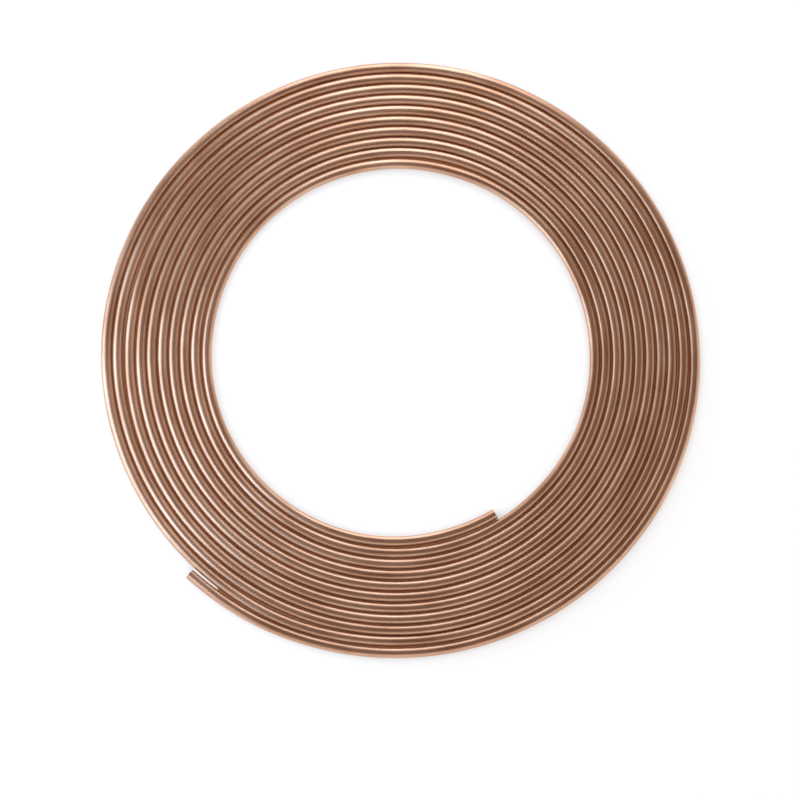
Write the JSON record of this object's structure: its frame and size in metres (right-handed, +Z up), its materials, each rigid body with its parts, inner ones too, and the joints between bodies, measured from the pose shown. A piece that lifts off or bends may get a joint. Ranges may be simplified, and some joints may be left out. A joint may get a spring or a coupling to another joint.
{
  "type": "copper tube coil",
  "caption": "Flat coil of soft copper tube wound in one spiral layer round an open eye, with a plain cut end outside and inside, for cutting to length for pipework.",
  "frame": {"origin": "on the floor, under the middle of the coil's outline", "axes": "+Z up, square to the flat of the coil; the outer end points along -X on the -Y side; the tube runs inward counter-clockwise seen from +Z"},
  "size_m": [0.5728, 0.5792, 0.01],
  "materials": {
    "copper": "satin"
  },
  "bodies": {
    "root": {"copper_tube": "copper"}
  },
  "joints": []
}
